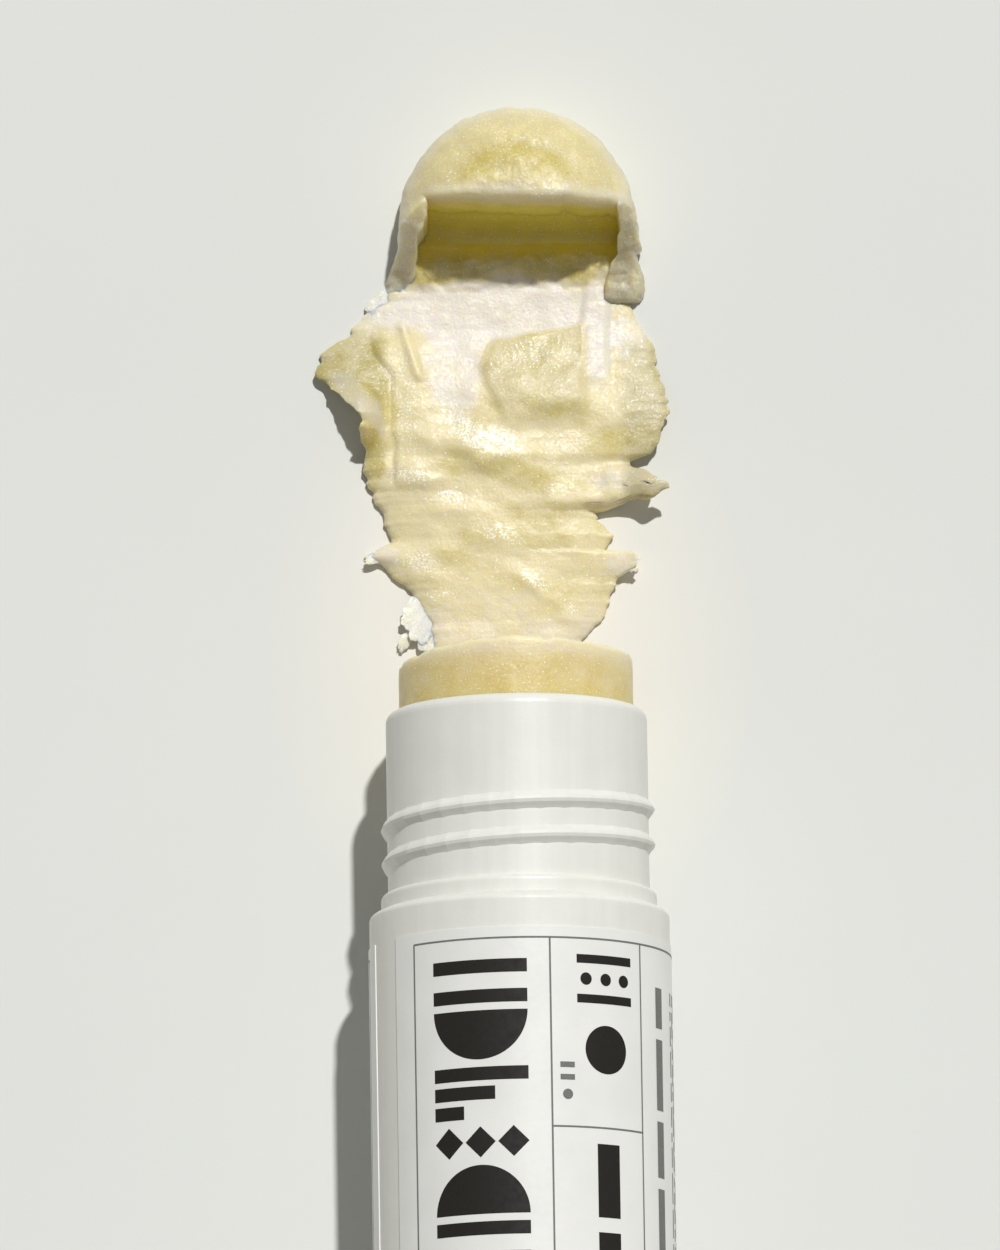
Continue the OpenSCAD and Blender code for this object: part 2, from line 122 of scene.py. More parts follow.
# Points and faces become an object. The last painted value also goes to the closing points.
def meshPiece(name, verts, quads, tris, paint=None, smooth=True):
    mesh = bpy.data.meshes.new(name)
    mesh.vertices.add(len(verts))
    mesh.vertices.foreach_set("co", (np.asarray(verts) * mm).astype(np.float32).ravel())
    corners = np.concatenate([quads.ravel(), tris.ravel()]).astype(np.int32)
    sizes = np.concatenate([np.full(len(quads), 4), np.full(len(tris), 3)]).astype(np.int32)
    mesh.loops.add(len(corners))
    mesh.loops.foreach_set("vertex_index", corners)
    mesh.polygons.add(len(sizes))
    starts = np.concatenate([[0], np.cumsum(sizes)[:-1]]).astype(np.int32)
    mesh.polygons.foreach_set("loop_start", starts)
    mesh.polygons.foreach_set("loop_total", sizes)
    mesh.update(calc_edges=True)
    mesh.validate()
    mesh.polygons.foreach_set("use_smooth", np.full(len(mesh.polygons), smooth))
    for label, values in (paint or {}).items():
        layer = mesh.attributes.new(label, "FLOAT", "POINT")
        full = np.full(len(verts), values.ravel()[-1], np.float32)
        full[:values.size] = values.ravel()
        layer.data.foreach_set("value", full)
    piece = bpy.data.objects.new(name, mesh)
    bpy.context.scene.collection.objects.link(piece)
    return piece


def newMaterial(name):
    material = bpy.data.materials.new(name)
    material.use_nodes = True
    return material, material.node_tree, material.node_tree.nodes["Principled BSDF"]


# gives named sockets of a node their values, or joins outputs of other nodes to them
def feed(tree, made, sockets):
    for socket, value in sockets.items():
        if isinstance(value, bpy.types.NodeSocket):
            tree.links.new(value, made.inputs[socket])
        else:
            made.inputs[socket].default_value = value


def node(tree, kind, sockets=None, **settings):
    made = tree.nodes.new(kind)
    for key, value in settings.items():
        setattr(made, key, value)
    feed(tree, made, sockets or {})
    return made


def objectPlace(tree):
    return node(tree, "ShaderNodeTexCoord").outputs["Object"]


# size is the width of one blotch in millimetres
def noise(tree, size, detail=2.0, place=None, rough=0.5):
    return node(tree, "ShaderNodeTexNoise",
                {"Vector": place or objectPlace(tree), "Scale": 1 / (size * mm), "Detail": detail,
                 "Roughness": rough}).outputs["Fac"]


def ramp(tree, value, stops):
    made = node(tree, "ShaderNodeValToRGB", {"Fac": value})
    line = made.color_ramp
    while len(line.elements) < len(stops):
        line.elements.new(0.5)
    for element, (place, colour) in zip(line.elements, stops):
        element.position = place
        element.color = (*colour, 1) if len(colour) == 3 else colour
    return made.outputs["Color"]


# turns low..high of a value into 0..1
def between(tree, value, low, high):
    limits = {"Value": value, "From Min": low, "From Max": high}
    return node(tree, "ShaderNodeMapRange", limits).outputs["Result"]


def blendColour(tree, share, first, second, way="MIX"):
    first, second = [(*c, 1) if isinstance(c, tuple) else c for c in (first, second)]
    made = node(tree, "ShaderNodeMix", data_type="RGBA", blend_type=way)
    feed(tree, made, {0: share, 6: first, 7: second})
    return made.outputs[2]


def calc(tree, way, first, second):
    return node(tree, "ShaderNodeMath", {0: first, 1: second}, operation=way).outputs[0]


# first + second * factor
def mixIn(tree, first, second, factor):
    return calc(tree, "ADD", first, calc(tree, "MULTIPLY", second, factor))


# roughness that goes from one value to another over the middle of a noise
def shine(tree, value, limits, places=(0.3, 0.7)):
    return ramp(tree, value, [(place, (limit,) * 3) for place, limit in zip(places, limits)])


# layers of (height value, depth in millimetres), laid over each other
def bumps(tree, layers):
    below = {}
    for height, depth in layers:
        sockets = {"Height": height, "Distance": depth * mm, "Strength": 1.0, **below}
        made = node(tree, "ShaderNodeBump", sockets)
        below = {"Normal": made.outputs["Normal"]}
    return below["Normal"]


tubeLook = {
    "white": (0.79, 0.785, 0.73), "shade": (0.745, 0.74, 0.685), "blotchSize": 3.0, "blotchDepth": 0.02,
    "lineSize": 0.8, "lineStretch": 0.04, "grainSize": 0.35, "grainDepth": 0.006, "gloss": (0.36, 0.5),
    "scatterShare": 0.12, "scatter": 0.8, "reach": (1.0, 0.9, 0.7),
}


# Moulded white plastic: a pale colour with faint blotches, and a fine dull grain in its gloss.
def tubePlastic():
    look = tubeLook
    material, tree, shader = newMaterial("tubePlastic")
    # faint lines along the tube, as the mould leaves them
    drawn = node(tree, "ShaderNodeMapping", {
        "Vector": objectPlace(tree), "Scale": (1, look["lineStretch"], 1)}).outputs[0]
    lines = noise(tree, look["lineSize"], 2.0, drawn)
    blotch = calc(tree, "MULTIPLY", calc(tree, "ADD", noise(tree, look["blotchSize"], 3.0), lines), 0.5)
    fine = noise(tree, look["grainSize"], 2.0)
    feed(tree, shader, {
        "Base Color": ramp(tree, blotch, [(0.35, look["shade"]), (0.65, look["white"])]),
        "Roughness": shine(tree, fine, look["gloss"]),
        "Normal": bumps(tree, [(blotch, look["blotchDepth"]), (fine, look["grainDepth"])]),
        "Subsurface Weight": look["scatterShare"], "Subsurface Radius": look["reach"],
        "Subsurface Scale": look["scatter"] * mm})
    return material


labelLook = {
    "white": (0.825, 0.82, 0.785), "shade": (0.79, 0.787, 0.752), "blotchSize": 4.0,
    "fibreSize": 0.5, "fibreDepth": 0.006, "gloss": (0.3, 0.42),
}


# Coated white film with a faint pressed grain.
def labelFilm():
    look = labelLook
    material, tree, shader = newMaterial("labelFilm")
    blotch = noise(tree, look["blotchSize"], 2.0)
    fine = noise(tree, look["fibreSize"], 3.0)
    feed(tree, shader, {
        "Base Color": ramp(tree, blotch, [(0.35, look["shade"]), (0.65, look["white"])]),
        "Roughness": shine(tree, fine, look["gloss"]),
        "Normal": bumps(tree, [(fine, look["fibreDepth"])])})
    return material


inkLook = {
    "black": ((0.006, 0.005, 0.0035), (0.03, 0.028, 0.024)),    # full, and where it is worn
    "grey": ((0.16, 0.165, 0.15), (0.45, 0.455, 0.43)),
    "speckSize": 0.12, "blotchSize": 0.6, "gloss": (0.5, 0.68), "specular": 0.25,
}


# Printing ink: dark, a little worn, so that the film shows through in tiny specks.
def inkFinish(name, colours):
    look = inkLook
    material, tree, shader = newMaterial(name)
    fine = noise(tree, look["speckSize"], 3.0, rough=0.7)
    feed(tree, shader, {
        "Base Color": ramp(tree, fine, [(0.60, colours[0]), (0.80, colours[1])]),
        "Roughness": shine(tree, noise(tree, look["blotchSize"], 2.0), look["gloss"]),
        "Specular IOR Level": look["specular"]})
    return material


balmLook = {
    "cream": (0.785, 0.700, 0.440),     # thick balm in the light
    "deep": (0.62, 0.52, 0.15),         # clear, smooth balm
    # painted light: the colour that light passing through the balm gives the shaded cut
    "paintedCutGlow": (0.90, 0.73, 0.075),      # the deep colour that light takes on inside the cut
    "frost": (0.795, 0.745, 0.655),     # balm scraped white
    # painted highlights: the near-white colour painted on lit grains and single points
    "paintedGlint": (0.98, 0.96, 0.86),        # single bright grains
    # dim: what stays of the colour where painted shade lies, and at thin, grey edges
    "dim": (0.60, 0.60, 0.50),          # what thin or shaded edges keep of their colour
    "reach": (1.0, 0.8, 0.3),           # how far red, green and blue light travels inside
    "stickDeep": (0.70, 0.545, 0.17),   # the stick is a warmer yellow
    "scatter": (0.5, 1.6),              # in thin film, and in the thick slab
    "cloudSize": 1.7, "grainSize": 0.26, "pitSize": 0.3, "glintSize": 0.17,
    "cloudDepth": 0.06, "grainDepth": 0.035, "pitDepth": 0.012,
    "raggedness": 0.9,                  # how far clouds and grains break up what is painted
    # how strongly the painted highlights show on lit grains and on single points
    "glitter": 0.35, "glints": 0.8,     # brightness of lit grains and of single points
    "gloss": (0.52, 0.30), "sparkGloss": 0.16,
}


# Balm: light sinks in and comes out yellow. "frost" paints the scraped white skin, "clear" the
# smooth, deeper coloured balm, "hollow" painted light that passes into the shaded cut, "dim" its
# thin, grey edges and painted shade, and "spark" painted highlights where its grains glitter.
def balmWax(name, scatter, deep):
    look = balmLook
    material, tree, shader = newMaterial(name)
    place = objectPlace(tree)
    frost, clear, paintedCutGlow, dim, spark = [
        node(tree, "ShaderNodeAttribute", attribute_name=label).outputs["Fac"]
        for label in ("frost", "clear", "paintedCutGlow", "dim", "spark")]
    cloud = noise(tree, look["cloudSize"], 4.0, place, 0.6)
    speck = noise(tree, look["grainSize"], 3.0, place, 0.65)
    point = noise(tree, look["glintSize"], 1.0, place)
    pits = node(tree, "ShaderNodeTexVoronoi", {
        "Vector": place, "Scale": 1 / (look["pitSize"] * mm)}).outputs["Distance"]
    # the painted shares are broken up by clouds and specks
    ragged = calc(tree, "MULTIPLY", calc(tree, "SUBTRACT", cloud, 0.5), look["raggedness"])
    ragged = mixIn(tree, ragged, calc(tree, "SUBTRACT", speck, 0.5), look["raggedness"])
    frostShare = between(tree, calc(tree, "ADD", frost, ragged), 0.15, 0.85)
    clearShare = between(tree, mixIn(tree, clear, ragged, 1.25), 0.05, 1.0)
    dimShare = between(tree, mixIn(tree, dim, ragged, 0.5), 0.05, 1.0)
    # painted highlights: only the brightest grains and points are painted near white, and more of them
    # where "spark" is high
    glitter = between(tree, mixIn(tree, speck, spark, 0.12), 0.60, 0.70)
    glints = between(tree, mixIn(tree, point, spark, 0.20), 0.66, 0.76)
    paintedHighlight = mixIn(tree, calc(tree, "MULTIPLY", glitter, look["glitter"]), glints, look["glints"])
    body = blendColour(tree, clearShare, look["cream"], deep)
    body = blendColour(tree, frostShare, body, look["frost"])
    # painted light of the shaded cut, then painted shade with the grey of thin edges, then painted
    # highlights on lit grains
    body = blendColour(tree, paintedCutGlow, body, look["paintedCutGlow"])
    body = blendColour(tree, dimShare, body, look["dim"], "MULTIPLY")
    body = blendColour(tree, calc(tree, "MINIMUM", paintedHighlight, 1.0), body, look["paintedGlint"])
    dull = shine(tree, speck, look["gloss"], (0.35, 0.65))
    depths = [(cloud, look["cloudDepth"]), (speck, look["grainDepth"]), (pits, look["pitDepth"])]
    feed(tree, shader, {
        "Base Color": body, "Normal": bumps(tree, depths),
        "Roughness": calc(tree, "SUBTRACT", dull, calc(tree, "MULTIPLY", spark, look["sparkGloss"])),
        "Subsurface Weight": 1.0, "Subsurface Radius": look["reach"], "Subsurface Scale": scatter * mm,
        "IOR": 1.44})
    return material


plastic = tubePlastic()
film = labelFilm()
thinScatter, thickScatter = balmLook["scatter"]
filmWax = balmWax("filmWax", thinScatter, balmLook["deep"])
slabWax = balmWax("slabWax", thickScatter, balmLook["deep"])
stickWax = balmWax("stickWax", thickScatter, balmLook["stickDeep"])
blackInk = inkFinish("blackInk", inkLook["black"])
greyInk = inkFinish("greyInk", inkLook["grey"])
print("finishes made")


for nodeName, material in (("barrel", plastic), ("base_wheel", plastic), ("carrier", plastic),
                           ("label", film)):
    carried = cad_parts[nodeName].data.materials
    carried.clear()
    carried.append(material)


def finishPiece(piece, material, body):
    piece.data.materials.append(material)
    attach(piece, body)
    return piece


stick = {
    "radius": 9.4, "footZ": 19.84, "cupTopZ": 25.64, "cupRadius": 8.11, "hubRadius": 4.29,
    "hubTopZ": 27.64, "boreRadius": 3.05, "boreTopZ": 68.4, "endZ": 74.5,
    "grooveHalfAngle": 3.36, "grooveRadius": 8.95, "grooveTopZ": 66.8, "columns": 300,
}


# A profile of (radius, height) points turned round the tube's axis. Its front face is lifted by
# a slant and noise, its skin by faint noise, and two grooves are pressed into its sides.
def makeStick():
    s = stick
    rounding = np.linspace(0, math.pi / 2, 7)
    end, r = s["endZ"], s["radius"]
    front = [(q, end) for q in np.linspace(0.25, r - 0.55, 34)]
    shoulder = [(r - 0.4 + 0.4 * math.sin(t), end - 0.4 + 0.4 * math.cos(t)) for t in rounding]
    side = [(r, z) for z in np.linspace(end - 0.55, s["grooveTopZ"] + 0.15, 40)]
    side += [(r, z) for z in np.linspace(s["grooveTopZ"] - 0.05, s["cupTopZ"], 60)]
    foot = [(s["cupRadius"], s["cupTopZ"]), (s["cupRadius"], s["footZ"]),
            (s["hubRadius"], s["footZ"]), (s["hubRadius"], s["hubTopZ"]),
            (s["boreRadius"], s["hubTopZ"]), (s["boreRadius"], s["boreTopZ"])]
    profile = np.array(front + shoulder + side + foot)
    even = turn = np.linspace(0, 2 * math.pi, s["columns"], endpoint=False)
    # columns near the grooves are drawn onto their edges, but not on the cut front
    half = math.radians(s["grooveHalfAngle"])
    for middle in (math.pi / 2, 3 * math.pi / 2):
        away = turn - middle
        inside = (np.abs(away) > half - 0.03) & (np.abs(away) <= half)
        outside = (np.abs(away) > half) & (np.abs(away) < half + 0.03)
        turn = np.where(inside, middle + np.sign(away) * (half - 0.003), turn)
        turn = np.where(outside, middle + np.sign(away) * (half + 0.003), turn)
    turn = np.where(profile[:, 1:] > s["grooveTopZ"], even, turn)
    radius, height = profile[:, :1] + 0 * turn, profile[:, 1:] + 0 * turn
    isSide = (np.abs(profile[:, :1] - r) < 0.01) & (profile[:, 1:] < s["grooveTopZ"])
    nearGroove = np.minimum(np.abs(turn - math.pi / 2), np.abs(turn - 3 * math.pi / 2)) < half
    radius = np.where(isSide & nearGroove, s["grooveRadius"], radius)
    sideways, upward = radius * np.sin(turn), radius * np.cos(turn)
    outer = ease((radius - 8) / 1.4) * ease((height - 60) / 4)
    radius = radius - 0.05 * outer * (0.5 + 0.5 * grain(turn * 9.4, height, 1.6, 71))
    # the cut front: it slants, stands out a little in its middle, and its rim is ragged
    atFront = ease((height - (end - 1.6)) / 1.5)
    slant = (0.10 + 0.022 * sideways - 0.0035 * sideways ** 2 + 0.045 * upward
             + 0.05 * np.sin(sideways * 0.9 + 1) + 0.14 * np.exp(-((sideways + 0.4) / 2.2) ** 2))
    ragged = 0.16 * grain(sideways, upward, 1.7, 72) + 0.07 * grain(sideways, upward, 0.6, 75)
    ragged = ragged * ease((radius - 1.5) / 4)
    height = height + atFront * (slant + ragged)
    grid = np.stack([tubeX + radius * np.sin(turn), wheelY + height, axisZ + radius * np.cos(turn)], -1)
    frost = ease((height - (end - 1.3)) / 0.9) * 0.4 + 0 * turn
    clear = 0.60 - 0.3 * ease((height - (end - 2.0)) / 1.6) + 0.15 * ease((72.5 - height) / 2)
    tips = [(tubeX, wheelY + end + 0.12, axisZ), (tubeX, wheelY + s["boreTopZ"], axisZ)]
    paint = {"frost": frost, "clear": clear, "dim": 0.04 + 0 * frost}
    piece = surface("stickBalm", grid, True, tips[0], tips[1], paint)
    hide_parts("balm_stick")
    return finishPiece(piece, stickWax, "stick")


makeStick()
print("stick made")


# The pressed front end of the balm. Places are measured from the tube's axis and ahead of the
# stick's end.
slab = {
    "middleX": 0.7, "middleA": 37.0, "radius": 9.55, "height": 10.9, "edgeHeight": 6.4,
    "rounding": 1.9, "lipRounding": 0.7, "steps": 380, "wallSteps": 14, "topSteps": 84, "footSteps": 5,
    # inner edge (across, ahead), outer edge (across, ahead) and height, from the arm's left tip on
    "leftArm": [(-8.8, 32.2, -9.9, 32.3, 0.5), (-8.0, 32.8, -9.8, 33.1, 0.95),
                (-7.5, 33.5, -9.5, 34.0, 1.8), (-7.4, 34.4, -9.1, 34.9, 3.2),
                (-7.5, 35.2, -8.9, 35.8, 5.0), (-7.4, 35.8, -8.9, 36.5, 6.4),
                (-6.9, 36.2, -8.9, 37.1, 7.1), (-6.65, 36.8, -8.86, 37.6, 7.6),
                (-6.5, 37.4, -8.75, 38.3, 8.2), (-6.5, 38.1, -8.5, 39.2, 8.8)],
    # the lip of the cut (across, ahead), and the dome behind it from one side to the other in degrees
    "wall": [(-6.5, 38.55), (-2.0, 38.2), (1.6, 38.05), (4.9, 38.0), (8.8, 37.95)],
    "domeFrom": 163.0, "domeTo": 16.0,
    "rightArm": [(8.85, 37.6, 10.15, 38.6, 7.6), (8.9, 36.9, 10.3, 37.4, 6.4),
                 (8.85, 36.0, 10.5, 36.2, 5.2), (8.7, 35.1, 10.74, 35.4, 4.1),
                 (8.6, 34.7, 10.25, 35.0, 3.5), (8.25, 34.0, 10.5, 34.2, 2.7),
                 (7.8, 33.1, 10.85, 33.2, 2.0), (7.55, 32.2, 10.9, 32.2, 1.7),
                 (7.75, 31.4, 10.4, 31.3, 1.4), (8.3, 31.0, 9.5, 30.9, 0.6)],
}


# how far a surface has dropped at a distance from an edge that is rounded with a radius
def edgeDrop(distance, radius):
    near = np.clip(1 - distance / radius, 0, 1)
    return radius * (1 - np.sqrt(1 - near ** 2))


# The pressed front end with the spatula's cut. The inner edge runs down the left arm, along the
# wall and back up the right arm, and the outer edge runs beside it. Each step along both edges
# holds one closed loop: up the inner wall, over the top, down the outer side and back below.
# Top = height - (height - edgeHeight) * (distance / radius)^3.4, or the arm's own height.
def makeSlab():
    s = slab
    rim = np.radians(np.linspace(s["domeFrom"], s["domeTo"], 60))
    wallX = np.linspace(s["wall"][0][0], s["wall"][-1][0], 60)
    wallA = along(wallX, s["wall"])
    dome = np.stack([wallX, wallA, s["middleX"] + s["radius"] * np.cos(rim),
                     s["middleA"] + s["radius"] * np.sin(rim), np.full(60, 20.0)], -1)
    knots = np.concatenate([np.array(s["leftArm"]), dome, np.array(s["rightArm"])])
    move = np.diff(knots[:, :4], axis=0)
    stride = np.hypot(move[:, 0], move[:, 1]) + np.hypot(move[:, 2], move[:, 3])
    pace = np.concatenate([[0], np.cumsum(stride)])
    t = np.linspace(0, pace[-1], s["steps"])
    inX, inA, outX, outA, armHigh = [np.interp(t, pace, knots[:, k])[:, None] for k in range(5)]
    # ragged edges, most on the arms
    inDome = ease((inA - 36.0) / 1.9)
    inA = inA + 0.07 * grain(inX * 1.3, inA, 1.5, 91, 3)
    inX = inX + (0.20 - 0.12 * inDome) * grain(inA * 1.3, inX, 1.1, 93, 4)
    outward = np.stack([outX - s["middleX"], outA - s["middleA"]], -1)
    outward = outward / np.linalg.norm(outward, axis=-1, keepdims=True)
    wobble = (0.20 - 0.09 * inDome) * grain(outX * 1.3, outA * 1.3, 1.6, 95, 4) - 0.05
    outX, outA = outX + outward[..., 0] * wobble, outA + outward[..., 1] * wobble
    # one loop: its share of the way from the inner to the outer edge, and of its height
    wall, top, foot = s["wallSteps"], s["topSteps"], s["footSteps"]
    q = np.linspace(0, 1, top)
    over = 0.35 * q + 0.65 * (0.5 - 0.5 * np.cos(math.pi * q))
    share = np.concatenate([np.zeros(wall), over, np.ones(wall), np.linspace(0.95, 0.05, foot)])[None, :]
    rise = np.linspace(0, 0.94, wall)
    high = np.concatenate([rise, np.ones(top), rise[::-1], np.zeros(foot)])[None, :]
    place = np.arange(share.size)[None, :]
    isUp, isTop = place < wall, (place >= wall) & (place < wall + top)
    isDown = (place >= wall + top) & (place < 2 * wall + top)
    x, a = inX + (outX - inX) * share, inA + (outA - inA) * share
    away = np.hypot(x - s["middleX"], a - s["middleA"])
    width = np.hypot(outX - inX, outA - inA)
    cap = s["height"] - (s["height"] - s["edgeHeight"]) * np.clip(away / s["radius"], 0, 1.05) ** 3.4
    toOuter, toInner = width * (1 - share), width * share
    drop = (edgeDrop(toOuter, np.minimum(s["rounding"], (0.28 + 0.27 * inDome) * width))
            + edgeDrop(toInner, np.minimum(s["lipRounding"], (0.14 + 0.16 * inDome) * width)))
    # a faint round groove behind the lip, and uneven skin
    groove = np.exp(-((away - 5.7) / 0.7) ** 2) * band(x, -4.6, 5.0, 2.5) * (a > s["middleA"] + 2.2)
    skin = (0.07 * grain(x, a, 1.1, 101, 4) + 0.12 * grain(x, a, 3.5, 106, 2) - 0.16 * groove * inDome
            + 0.12 * (1 - inDome) * grain(x, a, 0.8, 103, 3))
    level = np.maximum(np.minimum(cap, armHigh) - drop + skin - 0.12, 0.25)
    z = np.where(isTop, level, level * high)
    # the wall leans back a little, and the outer side bulges below its rounding
    a = a - np.where(isUp, (0.55 * (1 - high) - 0.05 * grain(x, z * 2, 1.2, 111, 3)) * inDome, 0)
    bulge = 0.18 * np.sin(math.pi * np.clip(high + 0.15, 0, 1)) - 0.3 * ease((0.15 - high) / 0.15)
    swell = np.where(isDown, bulge, 0)
    x, a = x + swell * outward[..., 0], a + swell * outward[..., 1]
    grid = np.stack([tubeX + x, stickEndY + a, z], -1)
    # paint: a deeper bow on the top, a pale lip, and down the wall of the cut painted light that passes
    # through the balm into its shade
    bow = np.exp(-((away - 5.0) / np.where(away > 5.0, 0.8, 2.1)) ** 2) * band(x, -4.6, 5.6, 3.5) * inDome
    bow = bow * ease((a - s["middleA"] - 2.0) / 1.6)
    lip = np.exp(-(toInner / 1.2) ** 4) * (isTop + isUp * 0.6) * inDome
    inside = isUp * ease((0.98 - high) / 0.42) * inDome
    paint = {
        "frost": (0.16 + 0.16 * ease((away - 8) / 1.4) + 0.32 * lip * (0.8 + 0.4 * lattice(x, a, 1.3, 117))
                  - 0.25 * bow + 0.30 * (1 - inDome) - 0.6 * inside),
        "clear": 0.46 + 0.4 * bow - 0.25 * ease((away - 8) / 1) - 0.2 * lip + 0.3 * (1 - inDome),
        # dim: painted shade on the arms, more on the right one, where it also greys their thin balm, and
        # on the cut's wall, darker towards its foot and its right end; the dome's top is dimmed a little
        "dim": ((0.26 + 0.34 * (x > 0)) * (1 - inDome) + 0.14 * isTop * inDome
                + (0.55 * (1 - high) + 0.12 * ease(x / 8)) * isUp * inDome),
        # painted highlights scattered over the top of the dome, where it is glossier too
        "spark": 0.30 * np.clip(grain(x, a, 2.4, 119, 2), 0, 1) * inDome * isTop,
        # painted light that passes through the balm into the shaded cut, growing down its wall
        "paintedCutGlow": 0.95 * inside,
    }
    paint = {key: value + 0 * x for key, value in paint.items()}
    return surface("smearSlab", grid, True, grid[0].mean(0), grid[-1].mean(0), paint)


# The film that was drawn out. "left", "right" and "depth" hold places ahead and what is there.
# "dunes" holds across, ahead, half length, turn in degrees, height, and the run of the slopes
# ahead and behind. The painted places ("sparks", "frosts" and "clears") hold across, ahead, half
# width, half length, turn in degrees and amount. "sparks" are painted highlights, and a glossier skin, on
# the sides of the dunes that face the light.
smear = {
    "left": [(-6.4, -4.2), (-5.2, -5.6), (3.7, -6.4), (5.3, -6.9), (7.8, -8.4), (9.9, -10.7),
             (10.6, -12), (11.8, -9.9), (14.3, -10.6), (16.1, -11.6), (20.7, -12.1), (21.9, -12.2),
             (24.5, -14.7), (25.6, -15.7), (27.3, -15.2), (29.2, -12.6), (31, -11.5), (31.6, -9.8),
             (35, -8.8), (37, -8.2), (39.4, -7.6)],
    "right": [(-6.4, 3.4), (-5.2, 4.8), (3.7, 5.6), (5.1, 6.9), (8.2, 8.1), (9.4, 9.7), (10.6, 9.9),
              (10.9, 7.4), (12.2, 8), (14.1, 6.3), (14.4, 8.2), (14.7, 10.6), (15.0, 12.0),
              (15.4, 12.8), (15.8, 12.6), (16.1, 11.5), (16.5, 11.8), (17.2, 10.7), (17.7, 9.5),
              (18.2, 9.5), (18.6, 11.1), (20.0, 11.9), (21.4, 12.5), (23.2, 12.7), (24.9, 11.9),
              (27.2, 11.7), (29.5, 10.2), (31.2, 9.4), (35, 9.6), (37, 9.1), (39.4, 8.4)],
    "depth": [(-6.4, 0.9), (-5.4, 1.4), (-4.2, 1.6), (-2, 1.6), (3, 1.2), (8, 1.6), (14, 1.9),
              (20, 2.0), (25, 1.6), (29, 0.9), (32.4, 0.8), (33.0, 0.95), (34.1, 1.55), (34.6, 1.65),
              (35.3, 1.45), (35.9, 1.25), (36.4, 1.4), (36.9, 1.95), (37.35, 2.9), (37.7, 4.4),
              (37.95, 6.2), (39.4, 6.4)],
    "leftFlap": [(16, 0), (18.6, 0.15), (20.8, 0.9), (21.9, 1), (23.4, 0.66), (24.8, 0.25), (27, 0.05),
                 (30, 0)],
    "rightFlap": [(13.6, 0.7), (15.0, 0.85), (16.0, 0.9), (17.4, 0.5), (18.4, 0.32), (20.5, 0.4),
                  (23.5, 0.25), (27, 0)],
    "dunes": [(-2.0, 18.8, 4.4, -16, 0.68, 1.8, 1.15), (-8.0, 16.3, 2.4, -4, 0.27, 1.2, 0.8),
              (-5.0, 14.4, 2.8, -8, 0.22, 1.1, 0.8), (-1.0, 11.7, 2.6, -14, 0.21, 1.1, 0.8),
              (-7.3, 9.1, 2.4, -24, 0.22, 1.1, 0.8), (1.9, 7.9, 2.6, -26, 0.2, 1.0, 0.7),
              (-6.0, 6.9, 1.6, -10, 0.14, 0.8, 0.6), (4.8, 5.3, 1.4, -24, 0.14, 0.7, 0.6),
              (2.2, 22.6, 4.6, 8, 0.38, 3.0, 1.2), (4.4, 14.8, 2.6, 4, 0.22, 1.2, 0.9),
              (5.2, 11.2, 2.2, -12, 0.17, 1.0, 0.8), (8.4, 21.4, 2.6, 22, 0.2, 1.6, 1.1)],
    "sparks": [(-2.6, 20.1, 3.3, 1.15, -30, 1.0), (-8.1, 17.1, 1.6, 0.6, 0, 0.9),
               (-5.4, 15.2, 1.6, 0.5, -6, 0.7), (-1.4, 12.4, 1.5, 0.7, -12, 0.7),
               (-7.6, 9.9, 1.5, 0.7, -20, 0.8), (1.5, 8.6, 1.3, 0.6, -28, 0.8),
               (-6.3, 7.5, 1.1, 0.4, -8, 0.6), (4.7, 5.8, 0.8, 0.4, -25, 0.7),
               (-8.5, 23.2, 0.9, 4.6, 8, 0.45), (1.6, 26.4, 3.0, 1.6, 6, 0.35),
               (4.6, 19.6, 2.2, 0.8, -20, 0.35), (4.4, 15.8, 1.8, 0.5, 0, 0.35)],
    "frosts": [(-1.2, 30.5, 9.2, 2.6, 0, 0.95), (-4.7, 25.6, 2.2, 4.2, 6, 0.8),
               (7.1, 29.0, 1.1, 4.8, 2, 0.75), (9.4, 28.6, 1.4, 2.0, 0, 0.5),
               (-11.0, 29.8, 1.6, 1.2, 20, 0.5), (-12.2, 22.8, 1.0, 3.4, 38, 0.6),
               (9.5, 16.2, 3.6, 1.3, 0, 0.5), (-10.8, 10.6, 1.8, 1.0, 0, 0.6),
               (9.0, 9.9, 1.6, 1.1, 0, 0.5)],
    "clears": [(-10.7, 24.4, 1.2, 4.0, 6, 0.75), (-13.9, 25.4, 2.2, 2.0, 0, 0.55),
               (-11.4, 18.0, 0.8, 2.8, 0, 0.6), (-0.6, 17.3, 6.5, 1.0, -12, 0.5),
               (1.8, 22.6, 4.4, 1.1, 6, 0.5), (1.6, 26.2, 3.6, 2.6, 6, 0.3),
               (3.6, 14.0, 3.0, 1.0, 4, 0.35), (-8.6, 12.6, 2.4, 1.0, -10, 0.3),
               (-2.4, 9.6, 3.6, 0.8, -16, 0.25), (8.6, 19.6, 2.4, 1.0, 20, 0.4),
               (5.8, 9.6, 2.2, 1.0, -16, 0.25)],
    "leftLift": 4.0, "rightLift": 3.4, "flapAt": 9.3, "edge": 0.22, "from": -6.4, "to": 39.4,
    "rows": 380, "columns": 150,
}


# height of the underside: the lift of a flap times a smooth step beyond the crease
def filmUnder(a, x):
    s = smear
    left = s["leftLift"] * along(a, s["leftFlap"]) * ease((-x - s["flapAt"]) / 3)
    right = s["rightLift"] * along(a, s["rightFlap"]) * ease((x - s["flapAt"] + 2.4) / 5)
    return np.where(x < 0, left, right)


# places drift a little, so that what is laid out by them gets an uneven border
def adrift(x, a, seed):
    return x + 0.5 * grain(x, a, 2.6, seed, 3), a + 0.4 * grain(x, a, 2.3, seed + 5, 3)


